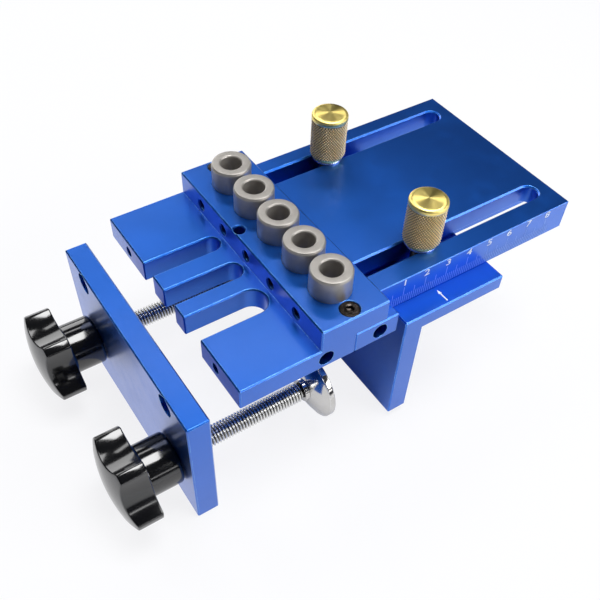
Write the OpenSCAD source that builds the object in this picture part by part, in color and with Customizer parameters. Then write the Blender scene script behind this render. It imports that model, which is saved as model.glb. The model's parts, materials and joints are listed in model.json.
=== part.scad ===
// Doweling jig: a guide block with five drill bushings, a forked front plate,
// a slotted rear plate with a sliding fence, and a clamp bar with two screws.
// X runs from the clamp bar to the rear plate, Z is up along the drill.
// The origin is on the axis of the middle bushing, where the bushings seat:
// the plane of the fork plate's top face.

/* [Guide block] */
// Distance between neighbouring drill bushings
bushing_pitch = 16.5; // [16:0.1:22]
// Outer diameter of a drill bushing
bushing_od = 15.2; // [12:0.1:15.6]
// Drill size that the bushings guide
drill_d = 8; // [5:0.5:9]
// Height of the bushings above the block
bushing_rise = 9.2; // [4:0.1:16]
// Width of the block beyond the outer bushings
block_end = 8.3; // [8.2:0.1:16]
// Block from the bushing row to its front face
block_front = 13.8; // [13.4:0.1:20]
// Block from the bushing row to its rear face
block_rear = 14; // [13.2:0.1:20]
// Height of the block above the fork plate
block_h = 9.4; // [8.4:0.1:16]

/* [Fork plate] */
// Reach of the fork plate in front of the block
fork_reach = 31.6; // [24:0.2:50]
// Thickness of the fork plate and of the cross bar
fork_t = 9.2; // [8.4:0.1:14]
// Width of the far slot
far_slot_w = 7.4; // [5:0.1:9]
// Width of the middle slot
mid_slot_w = 7.9; // [5:0.1:9]
// Width of the near slot
near_slot_w = 11.5; // [8:0.1:13]
// Web between the slots' round ends and the block
slot_web = 2; // [1:0.1:6]

/* [Cross bar and rods] */
// Seam between fork plate and cross bar, behind the bushing row
seam_x = 0.8; // [0.4:0.1:1.6]
// Ledge of the cross bar behind the block
ledge = 5.4; // [5.4:0.1:9]
// Diameter of the two rod bores that run across the jig
rod_d = 6; // [4:0.1:6.1]
// Rod bores from the bushing row
rod_x = 11.4; // [11.2:0.1:11.5]

/* [Rear plate] */
// Length of the rear plate behind the block
plate_len = 93.9; // [80:0.5:130]
// Width of the rear plate
plate_w = 82.7; // [76:0.1:88]
// Thickness of the rear plate
plate_t = 12.6; // [10:0.1:15]
// Top of the rear plate above the fork plate
plate_rise = 6.4; // [5:0.1:8]
// Distance between the two long slots
slot_span = 60; // [54:0.2:62]
// Shift of the two slots from the plate's middle to the far side
slot_shift = 0.9; // [-1:0.1:1.5]
// Width of the long slots
slot_w = 7.5; // [6.6:0.1:9]
// Depth of the long slots down to the wider channels under them
slot_lip = 8.2; // [7:0.1:9.4]
// Width of the channels under the long slots
channel_w = 12.6; // [12.4:0.1:14]
// Plate left behind the slots' round ends
slot_tail = 5.9; // [4:0.1:12]

/* [Fence] */
// Fence face from the bushing row, at rest
fence_x = 22.3; // [22.3:0.1:40]
// Width of the fence across the jig
fence_w = 100.8; // [84:0.2:120]
// Length of the fence's top flange
flange_len = 46.8; // [36:0.2:60]
// Thickness of the fence's top flange
flange_t = 6.6; // [5:0.1:9]
// Thickness of the upright fence
fence_t = 8.7; // [6:0.1:12]
// Height of the fence, flange included
fence_h = 54.4; // [40:0.2:62]
// Studs behind the fence face
stud_back = 21.1; // [17:0.1:24]
// Stud diameter
stud_d = 6; // [5:0.5:6]

/* [Thumb knobs] */
// Diameter of a brass thumb knob
thumb_d = 14.4; // [12:0.1:18]
// Height of a brass thumb knob
thumb_h = 19.4; // [14:0.2:26]
// Thickness of the washer under a thumb knob
washer_t = 1; // [0.8:0.1:2]

/* [Clamp bar] */
// Thickness of the clamp bar
bar_t = 8.7; // [6:0.1:12]
// Height of the clamp bar
bar_h = 56.8; // [50:0.2:62]
// Clamp bar stood off in front of the fork plate
bar_gap = 10.9; // [0.1:0.1:20]
// Top of the clamp bar below the fork plate's top
bar_sink = 6.8; // [0:0.1:8]
// Clamp screw axes below the top of the bar
screw_drop = 35.3; // [32.5:0.1:36]

/* [Clamp screws] */
// Thread size of the clamp screws
screw_d = 8; // [6:0.5:10]
// Pad faces from the bar's inner face
screw_reach = 53.6; // [40:0.2:56]
// Diameter of a swivel pad
pad_d = 27.3; // [20:0.1:30]
// Depth of a swivel pad, dome and rim
pad_h = 6.6; // [6.2:0.1:9]
// Diameter of a star knob over its lobes
star_d = 37; // [32:0.5:44]
// Lobes on a star knob
star_lobes = 5; // [5:1:9]
// Thickness of a star knob's rim
star_t = 9.7; // [8:0.1:13]
// Height of the dome on a star knob
star_dome = 3.3; // [1.5:0.1:4]
// Diameter of a star knob's hub
star_hub_d = 19.3; // [16:0.1:22]
// Length of a star knob's hub
star_hub_len = 12.9; // [8:0.1:18]

/* [Hidden] */
$fn = 96;
BUSHINGS = 5;
SIDES = [-1, 1];

// Clearances: a slip fit, a gap under a sliding piece, and one overrun for cuts
slip = 0.05;
glide = 0.05;
over = 1;
// Gap between the star knobs' hubs and the bar
hub_gap = 0.3;

// Bevel of the milled edges, of the rear plate's edges and of the long slots' rims
bevel = 0.5;
plate_bevel = 0.2;
slot_bevel = 0.6;

// Fixings: countersunk and grub screws, and the tapped holes left open
end_screw_d = 4;
end_head_d = 7.6;
end_head_h = 2.2;
end_head_gap = 0.1;
end_floor = 1;
end_key_d = 2.9;
m4_head_h = 2.3;
m4_head_d = 7.8;
m4_d = 4;
m3_head_d = 5.4;
m3_head_h = 1.6;
m3_d = 3;
grub_d = 4;
grub_len = 5;
grub_key_d = 2.3;
key_depth = 1.5;
tapped_d = 4.2;
lock_hole_d = 4.2;
bolt_d = 5.5;
bolt_head_d = 8.6;
bolt_head_h = 4.8;
fork_hole_depth = 15;
screw_bite = 5;
screw_bite_share = 0.7;
bar_screw_x = 5.5;

// Bushings: rim bevel, mouth bevel, and the way on through the plates below
bushing_rim = 0.9;
bushing_mouth = 0.45;
chip_gap = 1.2;
bushing_h = block_h + bushing_rise;
bushing_r = bushing_od / 2;
guide_r = drill_d / 2 + slip;
chip_r = drill_d / 2 + chip_gap / 2;

// Across the jig
bushing_row = [for (i = [0:BUSHINGS - 1]) (i - (BUSHINGS - 1) / 2) * bushing_pitch];
row_end = bushing_row[BUSHINGS - 1];
body_w = 2 * (row_end + bushing_r + block_end);
half_w = body_w / 2;
end_screw_y = row_end + bushing_r + end_head_gap + end_head_d / 2;
bolt_y = row_end;
clamp_y = row_end;

// Front to back
fork_front = -block_front - fork_reach;
bar_rear = block_rear + ledge;
plate_end = block_rear + plate_len;
slot_end = plate_end - slot_tail;
bar_inner = fork_front - bar_gap;
bar_outer = bar_inner - bar_t;
stud_x = fence_x + stud_back;
notch_gap = 0.05;
plate_screw_x = block_rear + ledge / 2;
tongue_mid = slot_span / 4;
tongue_out = (slot_span / 2 + slot_w / 2 + plate_w / 2) / 2;

// Heights
plate_floor = plate_rise - plate_t;
channel_top = plate_rise - slot_lip;
bolt_z = -fork_t / 2;
grub_height_share = 0.44;
grub_z = block_h * grub_height_share;
bar_top = -bar_sink;
screw_z = bar_top - screw_drop;

// Fork slots, from the far side to the near side, as shares of the bushing pitch
slot_place_shares = [0.985, -0.01, -1.035];
slot_widths = [far_slot_w, mid_slot_w, near_slot_w];

// Clamp screws and pads
screw_r = screw_d / 2 - slip;
pad_face = bar_inner + screw_reach;
pad_rim_t = 2.3;
pad_lip = 0.45;
pad_collar_t = 0.9;
pad_collar_wall = 2.6;
pad_floor = 0.9;
ball_share = 0.38;
neck_share = 0.26;
shank_head_share = 0.72;
ball_r = screw_d * ball_share;
neck_r = screw_d * neck_share;
ball_back = ball_r + slip + pad_floor;
collar_gap = 0.4;
shank_head_r = screw_d * shank_head_share;
shank_head_t = 4;
shank_head_in = 3;

// Star knobs: wide flutes between narrow lobes with bevelled corners.
// The turns are angles: half of a lobe's tip, and how each knob stands at rest.
star_r = star_d / 2;
flute_share = 1.08;
tip_edge_share = 0.075;
flute_r = star_r * flute_share;
tip_edge = star_r * tip_edge_share;
tip_turn = 7;
near_star_turn = -28.4;
far_star_turn = -34.3;
star_edge = 0.6;
hub_edge = 1.4;

// Thumb knobs and studs
washer_share = 0.86;
washer_d = thumb_d * washer_share;
thumb_cap_h = 2.4;
thumb_bevel = 1.1;
thumb_shoulder = 1.7;
thumb_groove = 0.35;
thumb_foot = 1;
stud_end_gap = 1;
stud_top_share = 0.6;
thumb_base = plate_rise + washer_t + 2 * glide;
stud_r = stud_d / 2;
stud_top = thumb_base + thumb_h * stud_top_share;

BLUE = "royalblue";
STEEL = "silver";
BRASS = "goldenrod";
DARK = "dimgray";
BLACK = "black";

// Rectangle from the origin with its four corners cut by c
module bevelled_rect(a, b, c) {
    polygon([[c, 0], [a - c, 0], [a, c], [a, b - c], [a - c, b], [c, b], [0, b - c], [0, c]]);
}

// Block between two corners, with all its edges bevelled by c
module bevelled_box(lo, hi, c = bevel) {
    size = hi - lo;
    translate(lo) intersection() {
        linear_extrude(size[2]) bevelled_rect(size[0], size[1], c);
        translate([0, size[1], 0]) rotate([90, 0, 0])
            linear_extrude(size[1]) bevelled_rect(size[0], size[2], c);
        rotate([90, 0, 90]) linear_extrude(size[0]) bevelled_rect(size[1], size[2], c);
    }
}

// Middle of a long slot across the jig
function slot_y(side) = slot_shift + side * slot_span / 2;

// Block across the jig's full width, from x0 to x1 and z0 to z1
module cross_block(x0, x1, z0, z1) {
    bevelled_box([x0, -half_w, z0], [x1, half_w, z1]);
}

// Cylinders along X, along Y and up Z
module rod_along_x(x0, x1, r, y = 0, z = 0) {
    translate([x0, y, z]) rotate([0, 90, 0]) cylinder(h = x1 - x0, r = r);
}

module rod_along_y(x, z, r) {
    translate([x, half_w + over, z]) rotate([90, 0, 0]) cylinder(h = body_w + 2 * over, r = r);
}

module rod_up(x, y, z0, z1, r) {
    translate([x, y, z0]) cylinder(h = z1 - z0, r = r);
}

// Bevel round a hole of radius r whose mouth looks along local +Z
module mouth_bevel(r, c) {
    translate([0, 0, -c]) cylinder(h = c + over, r1 = r, r2 = r + c + over);
}

// Cutter for a slot along X with a round end at x1; it is open at x0.
// Its rims at z0 and z1 are bevelled by c.
module slot_cutter(x0, x1, y, w, z0, z1, c = slot_bevel) {
    r = w / 2;
    end_x = x1 - r;
    length = end_x - x0;
    translate([x0, y, z0 - over])
        translate([0, -r, 0]) cube([length, w, z1 - z0 + 2 * over]);
    rod_up(end_x, y, z0 - over, z1 + over, r);
    for (top = [true, false]) {
        z = top ? z1 : z0;
        translate([end_x, y, z]) mirror([0, 0, top ? 0 : 1]) {
            mouth_bevel(r, c);
            rotate([90, 0, -90]) linear_extrude(length)
                polygon([[-r, -c], [r, -c], [r + c + over, over], [-r - c - over, over]]);
        }
    }
}

// Countersunk screw, head up, with its top at the origin
module countersunk_screw(d, head_d, head_h, length, key_d) {
    difference() {
        rotate_extrude() polygon([[0, 0], [head_d / 2, 0], [d / 2, -head_h], [d / 2, -length], [0, -length]]);
        translate([0, 0, -key_depth]) cylinder(h = key_depth + over, d = key_d, $fn = 6);
    }
}

// Hole for a countersunk screw, a slip fit round it
module countersunk_hole(d, head_d, head_h, length) {
    rotate_extrude() polygon([[0, over], [head_d / 2 + slip + over, over], [head_d / 2 + slip, 0],
        [d / 2 + slip, -head_h], [d / 2 + slip, -length - slip], [0, -length - slip]]);
}

// Places of the screws that are driven in from below
module at_cross_bar_screws() {
    for (i = [0:BUSHINGS - 2])
        translate([bar_screw_x, bushing_row[i] + bushing_pitch / 2, -fork_t]) mirror([0, 0, 1]) children();
}

module at_plate_screws() {
    for (side = SIDES, y = [tongue_mid, tongue_out])
        translate([plate_screw_x, side * y, -fork_t]) mirror([0, 0, 1]) children();
}

module at_end_screws() {
    for (side = SIDES) translate([0, side * end_screw_y, block_h]) children();
}

// Way of a drill through the plates below the bushings
module chip_holes() {
    for (y = bushing_row) rod_up(0, y, -fork_t - over, over, chip_r);
}

module cross_bar_screw_holes() {
    at_cross_bar_screws() countersunk_hole(m4_d, m4_head_d, m4_head_h, fork_t + screw_bite);
}

module plate_screw_holes() {
    at_plate_screws() countersunk_hole(m3_d, m3_head_d, m3_head_h, fork_t + plate_rise * screw_bite_share);
}

// Block and fork plate, milled from one piece
module fork_body() {
    color(BLUE) difference() {
        union() {
            cross_block(fork_front, seam_x, -fork_t, 0);
            cross_block(-block_front, seam_x, -fork_t, block_h);
            cross_block(-block_front, block_rear, 0, block_h);
        }
        for (i = [0:2])
            translate([-block_front - slot_web, slot_place_shares[i] * bushing_pitch, 0]) mirror([1, 0, 0])
                fork_slot(slot_widths[i]);
        for (y = bushing_row) {
            rod_up(0, y, 0, block_h + over, bushing_r + slip);
            rod_along_x(-block_front - over, 0, grub_d / 2 + slip, y, grub_z);
            translate([-block_front, y, grub_z]) rotate([0, -90, 0]) mouth_bevel(grub_d / 2 + slip, bevel);
        }
        chip_holes();
        rod_along_y(-rod_x, bolt_z, rod_d / 2 + slip);
        rod_up(-rod_x, bushing_pitch / 2, bolt_z, block_h + over, lock_hole_d / 2);
        translate([-rod_x, bushing_pitch / 2, block_h]) mouth_bevel(lock_hole_d / 2, bevel);
        at_end_screws() countersunk_hole(end_screw_d, end_head_d, end_head_h, block_h - end_floor);
        cross_bar_screw_holes();
        for (side = SIDES) rod_along_x(fork_front - over, fork_front + fork_hole_depth, tapped_d / 2,
            side * bolt_y, bolt_z);
    }
}

// One fork slot from its round end at the origin out along +X, open at the front
module fork_slot(w) {
    translate([fork_reach - slot_web, 0, 0]) mirror([1, 0, 0]) {
        slot_cutter(-over, fork_reach - slot_web, 0, w, -fork_t, 0, bevel);
        for (side = SIDES) translate([0, side * w / 2, -fork_t - over]) rotate([0, 0, 45])
            translate([-bevel / sqrt(2), -bevel / sqrt(2), 0])
                cube([bevel * sqrt(2), bevel * sqrt(2), fork_t + 2 * over]);
    }
}

// Bar under the block's rear half; the rear plate's tongues lie on its ledge
module cross_bar() {
    color(BLUE) difference() {
        cross_block(seam_x, bar_rear, -fork_t, 0);
        chip_holes();
        rod_along_y(rod_x, bolt_z, rod_d / 2 + slip);
        cross_bar_screw_holes();
        plate_screw_holes();
    }
}

// Plate with the ruler and the two long slots that guide the fence
module rear_plate() {
    color(BLUE) difference() {
        bevelled_box([block_rear, -plate_w / 2, plate_floor], [plate_end, plate_w / 2, plate_rise],
            plate_bevel);
        translate([block_rear - over, -plate_w / 2 - over, plate_floor - over])
            cube([ledge + notch_gap + over, plate_w + 2 * over, -plate_floor + over]);
        for (side = SIDES) {
            slot_cutter(block_rear - over, slot_end, slot_y(side), slot_w, channel_top, plate_rise);
            translate([bar_rear, slot_y(side) - channel_w / 2, plate_floor - over])
                cube([plate_end - bar_rear + over, channel_w, channel_top - plate_floor + over]);
        }
        plate_screw_holes();
    }
}

// Drill bushing with bevelled rims
module drill_bushing(i) {
    rim_r = bushing_r - bushing_rim / 2;
    color(STEEL) translate([0, bushing_row[i], 0]) rotate_extrude()
        polygon([[guide_r, 0], [bushing_r - bevel, 0], [bushing_r, bevel], [bushing_r, bushing_h - bushing_rim],
            [rim_r, bushing_h], [guide_r + bushing_mouth, bushing_h], [guide_r, bushing_h - bushing_mouth]]);
}

// Grub screws that hold the bushings, one from the front for each
module bushing_set_screws() {
    color(DARK) for (y = bushing_row)
        translate([-bushing_r - slip, y, grub_z]) rotate([0, -90, 0]) difference() {
            cylinder(h = grub_len, d = grub_d);
            translate([0, 0, grub_len - key_depth]) cylinder(h = key_depth + over, d = grub_key_d, $fn = 6);
        }
}

// Countersunk screws at both ends of the bushing row
module end_screws() {
    color(DARK) at_end_screws()
        countersunk_screw(end_screw_d, end_head_d, end_head_h, block_h - end_floor, end_key_d);
}

// Screws that pull the cross bar up against the block
module cross_bar_screws() {
    color(DARK) at_cross_bar_screws()
        countersunk_screw(m4_d, m4_head_d, m4_head_h, fork_t + screw_bite, end_key_d);
}

// Screws through the ledge into the rear plate's tongues
module plate_screws() {
    color(DARK) at_plate_screws()
        countersunk_screw(m3_d, m3_head_d, m3_head_h, fork_t + plate_rise * screw_bite_share, grub_key_d);
}

// Bar that carries the clamp screws
module clamp_bar() {
    color(BLUE) difference() {
        cross_block(bar_outer, bar_inner, bar_top - bar_h, bar_top);
        for (side = SIDES) {
            rod_along_x(bar_outer - over, bar_inner + over, bolt_d / 2, side * bolt_y, bar_top + bolt_z);
            rod_along_x(bar_outer - over, bar_outer + bolt_head_h, bolt_head_d / 2, side * bolt_y, bar_top + bolt_z);
            rod_along_x(bar_outer - over, bar_inner + over, screw_r + slip, side * clamp_y, screw_z);
        }
    }
}

// Places along a clamp screw: local +Z points out of the bar's front
module at_clamp(side, x) {
    translate([x, side * clamp_y, screw_z]) rotate([0, -90, 0]) children();
}

// Threaded shank with a ball at the pad and a head moulded into the knob
module clamp_screw(side) {
    ball_z = ball_back;
    shank_z = pad_h + pad_collar_t + collar_gap;
    head_z = pad_face - bar_outer + hub_gap + star_hub_len + shank_head_in;
    color(STEEL) at_clamp(side, pad_face) rotate_extrude() union() {
        intersection() {
            translate([0, ball_z]) circle(r = ball_r);
            translate([0, ball_z - ball_r]) square([ball_r, 2 * ball_r]);
        }
        translate([0, ball_z]) square([neck_r, shank_z - ball_z]);
        translate([0, shank_z]) square([screw_r, head_z - shank_z]);
        translate([0, head_z]) square([shank_head_r, shank_head_t]);
    }
}

// Domed pad: the ball turns in its socket, so the pad doesn't turn on the work
module swivel_pad(side) {
    pad_r = pad_d / 2;
    cap_r = pad_r - pad_lip;
    cap_h = pad_h - pad_rim_t;
    dome_r = (cap_r * cap_r + cap_h * cap_h) / (2 * cap_h);
    collar_r = neck_r + pad_collar_wall;
    color(STEEL) at_clamp(side, pad_face) difference() {
        union() {
            cylinder(h = pad_rim_t, r = pad_r);
            intersection() {
                translate([0, 0, pad_h - dome_r]) sphere(r = dome_r);
                translate([0, 0, pad_rim_t]) cylinder(h = cap_h, r = pad_r);
            }
            translate([0, 0, pad_rim_t]) cylinder(h = cap_h + pad_collar_t, r = collar_r);
        }
        translate([0, 0, ball_back]) sphere(r = ball_r + slip);
        translate([0, 0, ball_back]) cylinder(h = pad_h, r = neck_r + collar_gap);
    }
}

// Fluted outline of a star knob, as a prism from z0 to z1, with a lobe along local +X.
// The flat at a lobe's corner runs from the disc to the flute.
module star_prism(z0, z1) {
    flute_turn = 180 / star_lobes - tip_turn;
    flute_at = star_r * cos(flute_turn) + sqrt(pow(flute_r, 2) - pow(star_r * sin(flute_turn), 2));
    edge_at = star_r - tip_edge;
    edge_turn = acos((pow(edge_at, 2) + pow(flute_at, 2) - pow(flute_r + tip_edge, 2))
        / (2 * edge_at * flute_at));
    edge = edge_at * [cos(edge_turn), sin(edge_turn)];
    to_disc = tip_edge * edge / edge_at;
    to_flute = tip_edge * ([flute_at, 0] - edge) / (flute_r + tip_edge);
    difference() {
        translate([0, 0, z0]) cylinder(h = z1 - z0, r = star_r);
        at_flutes() {
            translate([flute_at, 0, z0 - over]) cylinder(h = z1 - z0 + 2 * over, r = flute_r);
            for (side = SIDES) translate([0, 0, z0 - over]) linear_extrude(z1 - z0 + 2 * over)
                mirror([0, side > 0 ? 0 : 1])
                    polygon([edge + to_disc, edge + 2 * to_disc, edge + 2 * (to_disc + to_flute),
                        edge + 2 * to_flute, edge + to_flute]);
        }
    }
}

module at_flutes() {
    for (i = [0:star_lobes - 1]) rotate([0, 0, (i + 1 / 2) * 360 / star_lobes]) children();
}

// Moulded knob with a domed front; local z 0 is the hub's end at the bar
module star_knob(side) {
    rim_z = star_hub_len;
    front_z = rim_z + star_t;
    dome_r = (star_r * star_r + star_dome * star_dome) / (2 * star_dome);
    hub_r = star_hub_d / 2;
    color(BLACK) at_clamp(side, bar_outer - hub_gap) difference() {
        union() {
            cylinder(h = hub_edge, r1 = hub_r - hub_edge, r2 = hub_r);
            translate([0, 0, hub_edge]) cylinder(h = rim_z, r = hub_r);
            intersection() {
                rotate([0, 0, side < 0 ? near_star_turn : far_star_turn])
                    star_prism(rim_z, front_z + star_dome);
                translate([0, 0, front_z + star_dome - dome_r]) sphere(r = dome_r);
                union() {
                    translate([0, 0, rim_z]) cylinder(h = star_edge, r1 = star_r - star_edge, r2 = star_r);
                    translate([0, 0, rim_z + star_edge]) cylinder(h = star_t + star_dome, r = star_r);
                }
            }
        }
        translate([0, 0, -over]) cylinder(h = rim_z + shank_head_in + over, r = screw_r + slip);
        translate([0, 0, rim_z + shank_head_in - slip])
            cylinder(h = shank_head_t + 2 * slip, r = shank_head_r + slip);
    }
}

// Angle fence that slides under the rear plate
module fence_bracket() {
    top = plate_floor - glide;
    color(BLUE) difference() {
        union() {
            bevelled_box([fence_x, -fence_w / 2, top - flange_t], [fence_x + flange_len, fence_w / 2, top]);
            bevelled_box([fence_x, -fence_w / 2, top - fence_h], [fence_x + fence_t, fence_w / 2, top]);
        }
        for (side = SIDES)
            rod_up(stud_x, slot_y(side), top - flange_t - over, top + over, stud_r + slip);
    }
}

// Stud from the fence's flange up through the long slot
module fence_stud(side) {
    color(STEEL) rod_up(stud_x, slot_y(side), plate_floor - glide - flange_t, stud_top, stud_r);
}

// Washer on the rear plate
module thumb_washer(side) {
    z = plate_rise + glide;
    color(STEEL) difference() {
        rod_up(stud_x, slot_y(side), z, z + washer_t, washer_d / 2);
        rod_up(stud_x, slot_y(side), z - over, z + washer_t + over, stud_r + slip);
    }
}

// Brass thumb nut: bevelled cap, groove, barrel for the knurl and a bevelled foot
module thumb_knob(side) {
    r = thumb_d / 2;
    groove_r = r - thumb_groove;
    cap_z = thumb_h - thumb_cap_h;
    bore_h = stud_top - thumb_base + stud_end_gap;
    color(BRASS) translate([stud_x, slot_y(side), thumb_base]) difference() {
        rotate_extrude() polygon([[0, 0], [r - thumb_foot, 0], [r, thumb_foot],
            [r, cap_z - thumb_groove], [groove_r, cap_z - thumb_groove], [groove_r, cap_z],
            [r, cap_z], [r, thumb_h - thumb_bevel], [r - thumb_shoulder, thumb_h], [0, thumb_h]]);
        translate([0, 0, -over]) cylinder(h = bore_h + over, r = stud_r + slip);
    }
}

fork_body();
cross_bar();
rear_plate();
drill_bushing(0);  // drill_bushing_1
drill_bushing(1);  // drill_bushing_2
drill_bushing(2);  // drill_bushing_3
drill_bushing(3);  // drill_bushing_4
drill_bushing(4);  // drill_bushing_5
bushing_set_screws();
end_screws();
cross_bar_screws();
plate_screws();
clamp_bar();
clamp_screw(-1);  // clamp_screw_near
clamp_screw(1);  // clamp_screw_far
swivel_pad(-1);  // swivel_pad_near
swivel_pad(1);  // swivel_pad_far
star_knob(-1);  // star_knob_near
star_knob(1);  // star_knob_far
fence_bracket();
fence_stud(-1);  // fence_stud_near
fence_stud(1);  // fence_stud_far
thumb_washer(-1);  // thumb_washer_near
thumb_washer(1);  // thumb_washer_far
thumb_knob(-1);  // thumb_knob_near
thumb_knob(1);  // thumb_knob_far
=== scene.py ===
"""Doweling jig: finishes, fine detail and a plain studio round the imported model.

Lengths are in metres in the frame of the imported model: X runs from the clamp bar to the rear plate,
Z is up along the drill bushings, and the origin is on the middle bushing's axis.
"""

from __future__ import annotations

import json
import logging
import math
from dataclasses import dataclass, field
from enum import Enum
from typing import Callable, Sequence

import bpy
from mathutils import Matrix, Vector

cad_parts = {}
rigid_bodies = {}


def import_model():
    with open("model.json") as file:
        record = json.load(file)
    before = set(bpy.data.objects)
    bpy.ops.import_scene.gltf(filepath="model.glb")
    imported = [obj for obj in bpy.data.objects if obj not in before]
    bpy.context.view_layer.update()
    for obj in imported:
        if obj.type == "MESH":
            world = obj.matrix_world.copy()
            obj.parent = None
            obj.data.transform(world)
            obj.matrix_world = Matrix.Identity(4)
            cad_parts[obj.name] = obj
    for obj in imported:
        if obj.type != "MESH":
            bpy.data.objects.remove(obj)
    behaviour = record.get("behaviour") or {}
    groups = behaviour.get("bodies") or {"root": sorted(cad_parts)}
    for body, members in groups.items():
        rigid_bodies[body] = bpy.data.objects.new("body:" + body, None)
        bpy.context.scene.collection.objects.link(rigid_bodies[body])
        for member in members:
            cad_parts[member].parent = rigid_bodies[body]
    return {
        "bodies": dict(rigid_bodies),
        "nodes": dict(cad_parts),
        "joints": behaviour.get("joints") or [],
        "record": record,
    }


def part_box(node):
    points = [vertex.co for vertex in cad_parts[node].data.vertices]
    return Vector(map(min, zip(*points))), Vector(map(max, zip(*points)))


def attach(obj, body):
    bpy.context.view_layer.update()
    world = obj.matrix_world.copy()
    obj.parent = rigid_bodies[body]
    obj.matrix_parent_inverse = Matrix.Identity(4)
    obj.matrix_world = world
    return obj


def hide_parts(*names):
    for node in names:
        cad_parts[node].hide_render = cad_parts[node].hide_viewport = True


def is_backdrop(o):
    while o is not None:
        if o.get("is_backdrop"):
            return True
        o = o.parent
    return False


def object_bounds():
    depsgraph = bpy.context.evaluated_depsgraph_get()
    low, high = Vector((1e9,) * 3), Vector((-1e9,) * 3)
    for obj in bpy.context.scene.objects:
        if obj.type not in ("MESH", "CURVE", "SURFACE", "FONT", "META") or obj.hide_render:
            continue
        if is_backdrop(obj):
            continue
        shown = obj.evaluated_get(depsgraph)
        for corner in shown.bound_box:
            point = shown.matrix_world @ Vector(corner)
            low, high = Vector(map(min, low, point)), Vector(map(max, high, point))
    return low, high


LOG = logging.getLogger("doweling_jig")
MM = 0.001
IMAGE_SIZE = 600
# A rounding takes less than half of either side of its corner.
MOST_CUT = 0.49
# A profile point nearer to the axis than this lies on it.
ON_AXIS = 1e-9
Colour = tuple[float, float, float]
Point = tuple[float, float]


class Slot(Enum):
    """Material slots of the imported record."""

    BLUE = "blue_anodised"
    BUSHING = "bushing_steel"
    BLACK_STEEL = "black_steel"
    ZINC = "zinc_steel"
    BRIGHT = "bright_steel"
    CHROME = "chrome"
    PLASTIC = "black_plastic"
    BRASS = "brass"


class Side(Enum):
    """The near side has the ruler, the far side is across the jig from it."""

    NEAR = -1
    FAR = 1

    @property
    def label(self) -> str:
        """Name of the side as the nodes have it."""
        return self.name.lower()


class Facing(Enum):
    """Way in which the axis of a turned piece points."""

    UP = "up"
    FRONT = "front"

    def matrix(self, origin: Vector) -> Matrix:
        """Place for a piece that was built along its own Z.

        Args:
            origin: Where the piece's own origin goes.

        Returns:
            The matrix from the piece's own axes to the frame's.
        """
        if self is Facing.UP:
            turn = Matrix.Identity(4)
        else:
            turn = Matrix(((0, 0, -1, 0), (0, 1, 0, 0), (1, 0, 0, 0), (0, 0, 0, 1)))
        return Matrix.Translation(origin) @ turn


# Shader groups


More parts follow.
